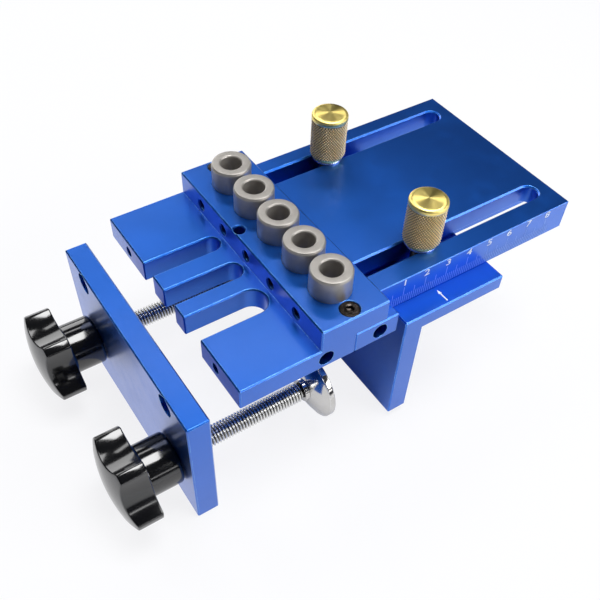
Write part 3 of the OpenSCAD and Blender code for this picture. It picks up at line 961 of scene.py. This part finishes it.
@dataclass
class StarKnobs:
    """Moulded knobs: wide flutes between narrow lobes, a low dome in front and a round hub."""

    lobes: int = 5
    flute_share: float = 1.08
    tip_turn: float = 5.6
    rounding_share: float = 0.045
    dome: float = 3.3 * MM
    rim: float = 9.7 * MM
    edge: float = 0.45 * MM
    back_edge: float = 0.5 * MM
    hub_d: float = 20.2 * MM
    hub_edge: float = 1.4 * MM
    hub_fillet: float = 0.8 * MM
    hub_root_share: float = 0.9
    least_reach: float = 18.5 * MM
    dome_rings: int = 12
    steps_per_lobe: int = 64
    turns: dict[Side, float] = field(default_factory=lambda: {Side.NEAR: -28.4, Side.FAR: -34.3})

    def outline(self, star_r: float) -> Callable[[float], float]:
        """Works out the fluted outline.

        Args:
            star_r: Radius over the lobes.

        Returns:
            The radius at an angle from a lobe's middle, in radians.
        """
        half = math.pi / self.lobes
        flute_r = star_r * self.flute_share
        soft = star_r * self.rounding_share
        meet = half - math.radians(self.tip_turn)
        away = star_r * math.cos(meet) + math.sqrt(flute_r ** 2 - (star_r * math.sin(meet)) ** 2)
        edge_at = star_r - soft
        turn = math.acos((edge_at ** 2 + away ** 2 - (flute_r + soft) ** 2) / (2 * edge_at * away))
        corner = half - turn
        touch = Vector((edge_at * math.cos(turn), edge_at * math.sin(turn)))
        touch += (Vector((away, 0.0)) - touch).normalized() * soft
        flute_from = half - math.atan2(touch.y, touch.x)

        def radius(angle: float) -> float:
            """Radius of the outline at an angle.

            Args:
                angle: Angle from a lobe's middle, in radians.

            Returns:
                The radius.
            """
            local = abs((angle + half) % (2 * half) - half)
            if local <= corner:
                return star_r
            if local <= flute_from:
                off = local - corner
                return edge_at * math.cos(off) + math.sqrt(soft ** 2 - (edge_at * math.sin(off)) ** 2)
            off = half - local
            return away * math.cos(off) - math.sqrt(flute_r ** 2 - (away * math.sin(off)) ** 2)

        return radius

    def build(self) -> None:
        """Builds both knobs in the place of their nodes."""
        for side in Side:
            node = f"star_knob_{side.label}"
            low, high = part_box(node)
            pad = node_axis(f"swivel_pad_{side.label}")
            axis = Vector((high.x, pad.y, pad.z))
            thing = self.shape(side, high.x - low.x, self.reach(low, high, pad))
            seat(thing, Facing.FRONT, axis, f"screw_{side.label}", Slot.PLASTIC, node)

    def reach(self, low: Vector, high: Vector, middle: Vector) -> float:
        """Finds the radius over the lobes, as the nearest lobe touches its side of the box.

        Args:
            low: Lowest corner of the box.
            high: Highest corner of the box.
            middle: A point on the axis.

        Returns:
            The largest distance of the box's sides from the axis, or the least reach.
        """
        return max(self.least_reach, high.y - middle.y, middle.y - low.y, high.z - middle.z,
                   middle.z - low.z)

    def shape(self, side: Side, length: float, star_r: float) -> bpy.types.Object:
        """Builds one knob along its own Z, with the hub's end at zero.

        Args:
            side: Which knob it is.
            length: From the hub's end to the top of the dome.
            star_r: Radius over the lobes.

        Returns:
            The knob's object.
        """
        steps = self.lobes * self.steps_per_lobe
        radius = self.outline(star_r)
        turn = math.radians(self.turns[side])
        back = length - self.dome - self.rim
        ball = (star_r ** 2 + self.dome ** 2) / (2 * self.dome)

        def front(r: float) -> float:
            """Height of the domed front at a radius."""
            return length - ball + math.sqrt(ball ** 2 - r ** 2)

        def outer(inset: float) -> Callable[[float], float]:
            """Outline drawn in by inset."""
            return lambda a: radius(a - turn) - inset

        shell = Shell()
        hub = self.hub_d / 2
        rows = [shell.ring(lambda _: hub * self.hub_root_share, lambda _: back, steps)]
        for share in (0.0, 0.35, 0.7, 1.0):
            bend = share * math.pi / 2
            inset = self.back_edge * (1 - math.sin(bend))
            rise = self.back_edge * (1 - math.cos(bend))
            rows.append(shell.ring(outer(inset), lambda _, z=back + rise: z, steps))
        for share in (0.0, 0.25, 0.5, 0.75, 1.0):
            bend = share * math.pi / 2
            inset = self.edge * (1 - math.cos(bend))
            drop = self.edge * (1 - math.sin(bend))
            rows.append(shell.ring(outer(inset),
                                   lambda a, d=drop, i=inset: front(radius(a - turn) - i) - d, steps))
        for part in range(1, self.dome_rings + 1):
            share = 1 - part / (self.dome_rings + 1)
            rows.append(shell.ring(lambda a, s=share: (radius(a - turn) - self.edge) * s,
                                   lambda a, s=share: front((radius(a - turn) - self.edge) * s), steps))
        for low_row, high_row in zip(rows, rows[1:]):
            shell.bridge(low_row, high_row)
        shell.tip(rows[-1], (0.0, 0.0, length), above=True)
        profile = round_corners([(0.0, 0.0), (hub, 0.0), (hub, back - self.hub_fillet),
                                 (hub + self.hub_fillet, back + self.back_edge / 2)],
                                {1: self.hub_edge, 2: self.hub_fillet}, steps=8)
        lathe(shell, profile)
        return shell.make(f"knob_moulded_{side.label}", GLOSS_PLASTIC, smooth_below=45.0)


@dataclass
class ThumbKnobs:
    """Brass thumb nuts: a turned cap with a coned top, a groove, a diamond knurl and a bevelled foot."""

    cap: float = 2.4 * MM
    cone: float = 0.2 * MM
    bevel: float = 1.3 * MM
    shoulder: float = 1.8 * MM
    groove: float = 0.3 * MM
    foot: float = 0.9 * MM
    edge: float = 0.18 * MM
    teeth: int = 40
    tooth_depth: float = 0.5 * MM
    bore: float = 3.05 * MM
    bore_share: float = 0.6
    flat_share: float = 0.16
    diamond_stretch: float = 1.15

    def build(self) -> None:
        """Builds both nuts in the place of their nodes."""
        for side in Side:
            node = f"thumb_knob_{side.label}"
            radius, height, foot = standing(node)
            body = f"thumb_{side.label}"
            top_z = height - self.cap
            bore_top = height * self.bore_share + self.foot
            root = radius - self.tooth_depth
            shell = Shell()
            barrel_top = top_z - self.groove
            corners = [(0.0, bore_top), (self.bore, bore_top), (self.bore, 0.0), (radius - self.foot, 0.0),
                       (root, self.foot), (root, barrel_top), (radius - self.groove, barrel_top),
                       (radius - self.groove, top_z), (radius, top_z)]
            for turned, drop in arc((0.0, 0.0), 1.0, 0.0, 90.0, steps=14):
                corners.append((radius - self.shoulder * (1 - turned),
                                height - self.bevel + (self.bevel - self.cone) * drop))
            corners += [(radius * self.flat_share, height), (0.0, height)]
            lathe(shell, round_corners(corners, {n: self.edge for n in (3, 8)}, steps=6))
            cap = shell.make(f"thumb_turned_{side.label}", TURNED_BRASS, smooth_below=35.0)
            seat(cap, Facing.UP, foot, body, Slot.BRASS, node)
            knurl = self.knurl(side, radius, self.foot, barrel_top)
            seat(knurl, Facing.UP, foot, body, Slot.BRASS)

    def knurl(self, side: Side, barrel: float, start: float, end: float) -> bpy.types.Object:
        """Builds the diamond knurl as rows of small pyramids.

        Args:
            side: Which nut it is on.
            barrel: Radius over the points.
            start: Height of its lower end.
            end: Height of its upper end.

        Returns:
            The knurl's object.
        """
        shell = Shell()
        around = 2 * self.teeth
        diamond = 2 * math.pi * barrel / self.teeth
        rows = 2 * int(round((end - start) / (diamond * self.diamond_stretch)))
        low_r = barrel - self.tooth_depth
        for j in range(rows + 1):
            z = start + (end - start) * j / rows
            for i in range(around):
                angle = 2 * math.pi * i / around
                r = barrel if (i + j) % 2 and 0 < j < rows else low_r
                shell.vertices.append((r * math.cos(angle), r * math.sin(angle), z))
        for j in range(rows):
            for i in range(around):
                k = (i + 1) % around
                a, b = j * around + i, j * around + k
                c, d = a + around, b + around
                if (i + j) % 2:
                    shell.faces += [(a, b, c), (b, d, c)]
                else:
                    shell.faces += [(a, b, d), (a, d, c)]
        return shell.make(f"thumb_knurl_{side.label}", KNURLED_BRASS, smooth_below=5.0)


@dataclass
class ThumbWashers:
    """Plain washers with a rounded upper rim."""

    bore: float = 3.3 * MM
    rim_share: float = 0.7

    def build(self) -> None:
        """Builds both washers in the place of their nodes."""
        for side in Side:
            node = f"thumb_washer_{side.label}"
            radius, height, foot = standing(node)
            corners = [(self.bore, 0.0), (radius, 0.0), (radius, height), (self.bore, height),
                       (self.bore, 0.0)]
            shell = Shell()
            lathe(shell, round_corners(corners, {2: height * self.rim_share}, steps=8))
            thing = shell.make(f"washer_stamped_{side.label}", BRIGHT_STEEL, smooth_below=40.0)
            seat(thing, Facing.UP, foot, "fence", Slot.BRIGHT, node)


@dataclass
class FenceStuds:
    """Threaded studs from the fence up into the thumb nuts."""

    thread: ThreadForm = field(default_factory=lambda: ThreadForm(pitch=1.0 * MM, outer=2.98 * MM))
    chamfer: float = 0.6 * MM

    def build(self) -> None:
        """Builds both studs in the place of their nodes."""
        for side in Side:
            node = f"fence_stud_{side.label}"
            _, length, foot = standing(node)
            root = self.thread.root
            shell = Shell()
            self.thread.wind(shell, 0.0, length - self.chamfer)
            lathe(shell, [(0.0, 0.0), (root, 0.0)], self.thread.steps)
            lathe(shell, [(root, length - self.chamfer), (root - self.chamfer, length), (0.0, length)],
                  self.thread.steps)
            # Near-black finish: painted shade on the zinc studs.
            thing = shell.make(f"stud_threaded_{side.label}", SHADED_STUD_STEEL, smooth_below=60.0)
            seat(thing, Facing.UP, foot, "fence", Slot.ZINC, node)


@dataclass
class EndScrews:
    """Black countersunk screws with a hexagon socket at the ends of the bushing row."""

    head_h: float = 2.2 * MM
    shank: float = 2.0 * MM
    key: float = 2.9 * MM
    key_depth: float = 1.5 * MM
    edge: float = 0.25 * MM
    turn_steps: int = 72

    def build(self) -> None:
        """Builds both screws as one piece in the place of their node."""
        low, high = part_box("end_screws")
        head = (high.x - low.x) / 2
        length = high.z - low.z
        shell = Shell()
        for place in (low.y + head, high.y - head):
            first = len(shell.vertices)
            key = self.key / 2 / math.cos(math.pi / 6)
            body = round_corners([(0.0, -length), (self.shank, -length), (self.shank, -self.head_h),
                                  (head, 0.0), (key + self.edge, 0.0)], {3: self.edge}, steps=4)
            lathe(shell, body, self.turn_steps)
            ring = list(range(len(shell.vertices) - self.turn_steps, len(shell.vertices)))
            rim = shell.ring(self.hexagon(key), lambda _: -self.edge, self.turn_steps)
            floor = shell.ring(self.hexagon(key), lambda _: -self.key_depth, self.turn_steps)
            shell.bridge(ring, rim)
            shell.bridge(rim, floor)
            shell.tip(floor, (0.0, 0.0, -self.key_depth - 2 * self.edge), above=True)
            for i in range(first, len(shell.vertices)):
                x, y, z = shell.vertices[i]
                shell.vertices[i] = (x, y + place, z)
        thing = shell.make("end_screws_socketed", BLACK_OXIDE)
        top = Vector((node_axis("end_screws").x, 0.0, high.z))
        seat(thing, Facing.UP, top, "jig", Slot.BLACK_STEEL, "end_screws")

    def hexagon(self, corner: float) -> Callable[[float], float]:
        """Radius of a hexagon at an angle, from the distance of its corners."""
        flat = corner * math.cos(math.pi / 6)
        return lambda a: flat / math.cos((a + math.pi / 6) % (math.pi / 3) - math.pi / 6)


@dataclass
class Markings:
    """Printed centimetre scale on the rear plate's near side, and the arrow on the fence."""

    count: int = 8
    parts: int = 10
    spare: int = 2
    zero: float = 17.0 * MM
    step: float = 10.0 * MM
    lift: float = 0.03 * MM
    line: float = 0.26 * MM
    figure_h: float = 2.9 * MM
    figure_stretch: float = 1.3
    figure_z: float = 4.4 * MM
    font_share: float = 1.4
    boldness: float = 0.04 * MM
    foot_gap: float = 0.5 * MM
    lengths: tuple[float, float, float] = (4.0 * MM, 6.4 * MM, 7.9 * MM)
    arrow_x: float = 42.5 * MM
    arrow_tip: float = 42.9 * MM
    arrow_tail: float = 49.0 * MM
    arrow_neck_share: float = 0.34
    arrow_half: float = 0.28 * MM
    arrow_wide: float = 0.72 * MM

    def build(self) -> None:
        """Builds the lines, the figures and the arrow."""
        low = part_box("rear_plate")[0]
        face = low.y - self.lift
        self.lines(low, face)
        self.figures(face)
        self.arrow()

    def lines(self, low: Vector, face: float) -> None:
        """Builds the scale's lines, which rise from the plate's lower edge.

        Args:
            low: The rear plate's lowest corner.
            face: Where the print lies along Y.
        """
        shell = Shell()
        foot = low.z + self.foot_gap
        millimetre = self.step / self.parts
        for k in range(-self.spare, self.count * self.parts + self.spare + 1):
            x = self.zero + k * millimetre
            size = self.lengths[(k % (self.parts // 2) == 0) + (k % self.parts == 0)]
            first = len(shell.vertices)
            for a, b in ((-1, 0), (1, 0), (1, 1), (-1, 1)):
                shell.vertices.append((x + a * self.line / 2, face, foot + b * size))
            shell.faces.append((first, first + 1, first + 2, first + 3))
        self.tie(shell.make("ruler_lines", TICK_INK), "jig")

    def figures(self, face: float) -> None:
        """Builds the figures above the centimetre lines.

        Args:
            face: Where the print lies along Y.
        """
        for k in range(1, self.count + 1):
            name = f"ruler_figure_{k}"
            curve = bpy.data.curves.new(name, "FONT")
            curve.body = str(k)
            curve.size = self.figure_h * self.font_share
            curve.align_x = "CENTER"
            curve.align_y = "CENTER"
            curve.offset = self.boldness
            drawn = link("drawn", curve)
            bpy.context.view_layer.update()
            graph = bpy.context.evaluated_depsgraph_get()
            mesh = bpy.data.meshes.new_from_object(drawn.evaluated_get(graph))
            bpy.data.objects.remove(drawn)
            upright = Matrix.Rotation(math.pi / 2, 4, "X") @ Matrix.Scale(self.figure_stretch, 4, (1, 0, 0))
            mesh.transform(Matrix.Translation((self.zero + k * self.step, face, self.figure_z)) @ upright)
            mesh.materials.clear()
            mesh.materials.append(WHITE_INK.material())
            mesh.name = name
            self.tie(link(name, mesh), "jig")
            LOG.info("built %s", name)

    def arrow(self) -> None:
        """Builds the plain arrow on the fence's flange, which points to the scale."""
        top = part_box("fence_bracket")[1].z + self.lift
        neck = self.arrow_tip + (self.arrow_tail - self.arrow_tip) * self.arrow_neck_share
        left, right = self.arrow_x - self.arrow_half, self.arrow_x + self.arrow_half
        shell = Shell()
        flat = [(self.arrow_x, -self.arrow_tip), (self.arrow_x - self.arrow_wide, -neck),
                (self.arrow_x + self.arrow_wide, -neck), (left, -neck), (right, -neck),
                (right, -self.arrow_tail), (left, -self.arrow_tail)]
        shell.vertices = [(x, y, top) for x, y in flat]
        shell.faces = [(0, 1, 2), (4, 3, 6, 5)]
        self.tie(shell.make("fence_arrow", WHITE_INK), "fence")

    def tie(self, thing: bpy.types.Object, body: str) -> None:
        """Ties a printed piece to its body."""
        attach(thing, body)


# Studio


@dataclass(frozen=True)
class Lamp:
    """A soft lamp: where it hangs, its width and height, and its watts."""

    name: str
    place: tuple[float, float, float]
    size: Point
    power: float

    def hang(self, aim: Vector) -> None:
        """Hangs the lamp.

        Args:
            aim: What it looks at.
        """
        data = bpy.data.lights.new(self.name, "AREA")
        data.shape = "RECTANGLE"
        data.size, data.size_y = self.size
        data.energy = self.power
        look = (aim - Vector(self.place)).to_track_quat("-Z", "Y")
        link(self.name, data).matrix_world = Matrix.Translation(self.place) @ look.to_matrix().to_4x4()


@dataclass
class Studio:
    """Pale floor and backdrop, soft lamps and the camera."""

    focal_px: float = 763.967
    centre_px: Point = (294.175, 353.016)
    sensor: float = 36.0
    eye: tuple[float, float, float] = (-114.19 * MM, -175.56 * MM, 195.83 * MM)
    ahead: tuple[float, float, float] = (0.36528, 0.51809, -0.77341)
    right: tuple[float, float, float] = (0.83629, -0.54756, 0.02818)
    floor_gap: float = 0.05 * MM
    floor_size: float = 6.0
    floor_glow: float = 0.86
    shade_middle: Point = (30.0 * MM, 0.0)
    shade_reach: Point = (34.0 * MM, 74.0 * MM)
    paper_middle: Point = (8.0 * MM, 0.0)
    paper_reach: Point = (122.0 * MM, 150.0 * MM)
    faint: float = 0.4
    pale: Colour = (0.94, 0.95, 0.97)
    white: Colour = (0.985, 0.985, 1.0)
    overhead: Colour = (0.04, 0.043, 0.05)
    skyline: Colour = (0.06, 0.063, 0.075)
    floor_roughness: float = 0.9
    floor_shine: float = 0.1
    clip: Point = (0.01, 50.0)
    horizon_fade: Point = (0.05, 0.6)
    aim: tuple[float, float, float] = (0.01, 0.0, -0.02)
    lamps: tuple[Lamp, ...] = (Lamp("key", (0.14, -0.10, 0.84), (0.42, 0.42), 6.4),
                               Lamp("back", (-0.25, 0.50, 0.68), (0.30, 0.30), 1.3),
                               Lamp("tube", (0.26, 0.46, 0.70), (0.50, 0.10), 0.55),
                               Lamp("fill", (0.57, -0.72, 0.48), (0.72, 0.36), 4.6),
                               Lamp("rear", (0.08, 0.86, 0.28), (0.56, 0.42), 2.2),
                               Lamp("low", (0.10, -0.90, 0.15), (0.70, 0.04), 0.35))

    def build(self, lowest: float) -> None:
        """Builds the whole studio.

        Args:
            lowest: Height of the jig's lowest point.
        """
        self.camera()
        self.floor(lowest - self.floor_gap)
        self.world()
        for lamp in self.lamps:
            lamp.hang(Vector(self.aim))

    def camera(self) -> None:
        """Sets up the camera at the photograph's angle."""
        data = bpy.data.cameras.new("camera")
        data.sensor_width = self.sensor
        data.lens = self.focal_px * self.sensor / IMAGE_SIZE
        data.shift_x = (IMAGE_SIZE / 2 - self.centre_px[0]) / IMAGE_SIZE
        data.shift_y = (self.centre_px[1] - IMAGE_SIZE / 2) / IMAGE_SIZE
        data.clip_start, data.clip_end = self.clip
        ahead = Vector(self.ahead).normalized()
        right = Vector(self.right).normalized()
        up = right.cross(ahead)
        turn = Matrix((right, up, -ahead)).transposed().to_4x4()
        thing = link("camera", data)
        thing.matrix_world = Matrix.Translation(self.eye) @ turn
        bpy.context.scene.camera = thing

    def floor(self, height: float) -> None:
        """Lays the floor, which keeps the jig's shadow.

        Args:
            height: Where the floor lies.
        """
        half = self.floor_size / 2
        mesh = bpy.data.meshes.new("floor")
        corners = ((-half, -half), (half, -half), (half, half), (-half, half))
        mesh.from_pydata([(*corner, height) for corner in corners], [], [(0, 1, 2, 3)])
        material = bpy.data.materials.new("floor")
        material.use_nodes = True
        graph = Graph(material.node_tree)
        shader = material.node_tree.nodes["Principled BSDF"]
        shader.inputs["Base Color"].default_value = opaque(self.pale)
        shader.inputs["Roughness"].default_value = self.floor_roughness
        shader.inputs["Specular IOR Level"].default_value = self.floor_shine
        glow = graph.add("Emission")
        glow.inputs["Color"].default_value = opaque(self.white)
        mixed = graph.add("MixShader")
        share = graph.math("MULTIPLY", self.seen(graph, self.open_floor(graph)), self.floor_glow)
        graph.join(share, mixed.inputs[0])
        graph.join(shader.outputs[0], mixed.inputs[1])
        graph.join(glow.outputs[0], mixed.inputs[2])
        graph.join(mixed.outputs[0], material.node_tree.nodes["Material Output"].inputs["Surface"])
        mesh.materials.append(material)
        link("floor", mesh)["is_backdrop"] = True

    def open_floor(self, graph: Graph) -> bpy.types.NodeSocket:
        """Adds the mask of the bright paper round the jig's own shade.

        Args:
            graph: The floor material's graph.

        Returns:
            The mask's socket.
        """
        flat = graph.add("VectorMath", operation="MULTIPLY")
        graph.join(graph.add("NewGeometry").outputs["Position"], flat.inputs[0])
        flat.inputs[1].default_value = (1.0, 1.0, 0.0)
        parts = []
        for middle, reach, ends in ((self.shade_middle, self.shade_reach, (0.0, 1.0)),
                                    (self.paper_middle, self.paper_reach, (1.0, 0.0))):
            away = graph.add("VectorMath", operation="DISTANCE")
            graph.join(flat.outputs[0], away.inputs[0])
            away.inputs[1].default_value = (*middle, 0.0)
            parts.append(graph.span(away.outputs["Value"], *reach, *ends))
        return graph.math("MULTIPLY", *parts)

    def seen(self, graph: Graph, mirrored: object) -> bpy.types.NodeSocket:
        """Adds the mask of rays from the camera, off a mirror and through glass.

        Args:
            graph: The graph of the floor's material or of the world.
            mirrored: Share of the background that a mirrored ray sees.

        Returns:
            The mask's socket.
        """
        path = graph.add("LightPath")
        glossy = graph.math("MULTIPLY", path.outputs["Is Glossy Ray"], mirrored)
        through = graph.math("ADD", glossy, path.outputs["Is Transmission Ray"], clamp=True)
        return graph.math("ADD", path.outputs["Is Camera Ray"], through, clamp=True)

    def world(self) -> None:
        """Surroundings: white to the camera, dark in reflections and darker overhead, and a faint light."""
        world = bpy.data.worlds.new("studio")
        bpy.context.scene.world = world
        world.use_nodes = True
        graph = Graph(world.node_tree)
        background = world.node_tree.nodes["Background"]
        split = graph.add("SeparateXYZ")
        graph.join(graph.add("TexCoord").outputs["Generated"], split.inputs[0])
        overhead = graph.span(split.outputs[2], *self.horizon_fade)
        dark = graph.mix(overhead, opaque(self.skyline), opaque(self.overhead))
        camera_ray = graph.add("LightPath").outputs["Is Camera Ray"]
        graph.join(graph.mix(camera_ray, dark, opaque(self.white)), background.inputs["Color"])
        strength = graph.math("MULTIPLY_ADD", self.seen(graph, 1.0), 1.0 - self.faint)
        strength.node.inputs[2].default_value = self.faint
        graph.join(strength, background.inputs["Strength"])


def main() -> None:
    """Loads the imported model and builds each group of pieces."""
    logging.basicConfig(level=logging.INFO, format="%(name)s: %(message)s")
    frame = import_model()
    packed = [list(corner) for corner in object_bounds()]
    bpy.context.scene.view_settings.view_transform = "Standard"
    Studio().build(packed[0][2])
    MilledPlates().dress(frame)
    for group in (DrillBushings(), ClampScrews(), SwivelPads(), StarKnobs(), ThumbKnobs(), ThumbWashers(),
                  FenceStuds(), EndScrews(), Markings()):
        group.build()
        LOG.info("finished %s", type(group).__name__)


if __name__ == "__main__":
    main()
